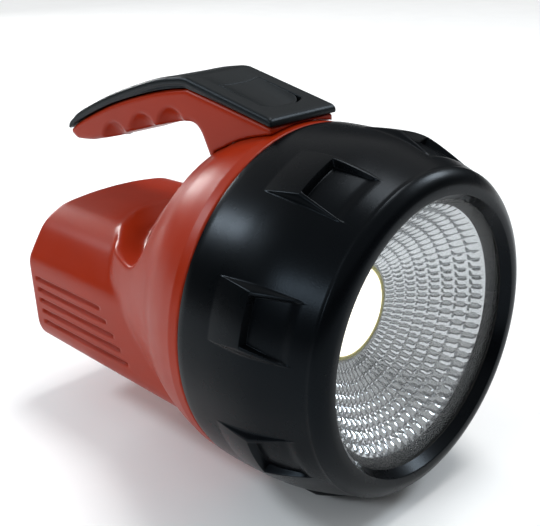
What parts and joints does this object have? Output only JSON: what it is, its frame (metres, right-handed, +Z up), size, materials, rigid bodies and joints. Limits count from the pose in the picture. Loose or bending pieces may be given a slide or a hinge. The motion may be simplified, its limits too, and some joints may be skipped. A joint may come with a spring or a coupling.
{
  "type": "firefighter flashlight",
  "caption": "Handheld lamp with a round reflector head in a notched screw-on bezel, a rechargeable battery box behind it and an open-ended top handle with a thumb switch.",
  "frame": {"origin": "point where the beam axis meets the flat rear face of the battery box", "axes": "+Z up, -Y the way the beam leaves, +X to the right of someone looking into the lens"},
  "size_m": [0.1206, 0.1652, 0.1322],
  "materials": {
    "red_plastic": "satin moulded plastic",
    "black_plastic": "satin moulded plastic",
    "grip_black": "fine-grained matt plastic",
    "clear_lens": "clear polycarbonate",
    "mirror_coat": "vacuum-metallised plastic",
    "rubber": "matt",
    "aluminium": "extruded",
    "steel": "zinc plated",
    "nickel": "nickel strip",
    "board_green": "solder mask",
    "board_white": "solder mask",
    "phosphor": "lit phosphor",
    "dam_yellow": "silicone",
    "cell_wrap": "shrink sleeve over the cell's can",
    "component": "moulded",
    "foam": "closed-cell foam",
    "lead": "twin-core insulation"
  },
  "bodies": {
    "housing": {"body_shell": "red_plastic", "collar_seal": "rubber", "handle_arm": "red_plastic", "handle_cover": "grip_black", "cover_screw_1": "steel", "cover_screw_2": "steel", "arm_screw_1": "steel", "arm_screw_2": "steel", "switch_body": "component", "switch_boot": "rubber", "button_spring": "steel", "led_board": "board_white", "led_dam": "dam_yellow", "led_phosphor": "phosphor", "heat_sink": "aluminium", "led_screw_1": "steel", "led_screw_2": "steel", "sink_screw_1": "steel", "sink_screw_2": "steel", "sink_screw_3": "steel", "driver_board": "board_green", "driver_coil": "component", "driver_capacitor": "component", "bulkhead": "black_plastic", "bulkhead_screw_1": "steel", "bulkhead_screw_2": "steel", "bulkhead_screw_3": "steel", "cell_1": "cell_wrap", "cell_2": "cell_wrap", "cell_3": "cell_wrap", "cell_4": "cell_wrap", "cell_5": "cell_wrap", "cell_6": "cell_wrap", "cell_7": "cell_wrap", "cell_8": "cell_wrap", "cell_holder_front": "black_plastic", "cell_holder_rear": "black_plastic", "bus_strip_rear": "nickel", "bus_strip_positive": "nickel", "bus_strip_negative": "nickel", "protection_board": "board_green", "battery_pad_1": "foam", "battery_pad_2": "foam", "charge_socket": "component", "charge_nut": "nickel", "cap_anchor": "rubber", "switch_lead": "lead", "led_lead": "lead", "battery_lead": "lead", "charge_lead": "lead"},
    "optics": {"lens": "clear_lens", "lens_gasket": "rubber", "reflector": "mirror_coat"},
    "bezel": {"bezel_ring": "black_plastic"},
    "thumb_button": {"switch_button": "grip_black", "switch_plunger": "board_white"},
    "charge_cap": {"socket_cap": "rubber"}
  },
  "joints": [
    {"name": "optics_advance", "type": "slide", "parent": "housing", "child": "optics", "axis": [0, -1, 0], "range_m": [0, 0.00875]},
    {"name": "bezel_turn", "type": "hinge", "parent": "optics", "child": "bezel", "pos_m": [0, -0.11, 0], "axis": [0, -1, 0], "range_deg": [0, 900]},
    {"name": "button_press", "type": "slide", "parent": "housing", "child": "thumb_button", "axis": [0, 0, -1], "range_m": [0, 0.001], "stiffness_N_per_m": 800, "springref_m": -0.0005, "deforming": ["button_spring"]},
    {"name": "cap_swing", "type": "hinge", "parent": "housing", "child": "charge_cap", "pos_m": [0, -0.0023, -0.0135], "axis": [1, 0, 0], "range_deg": [0, 120]}
  ],
  "couplings": [
    {"joint": "optics_advance", "follows": "bezel_turn", "m_per_rad": 0.000557}
  ]
}
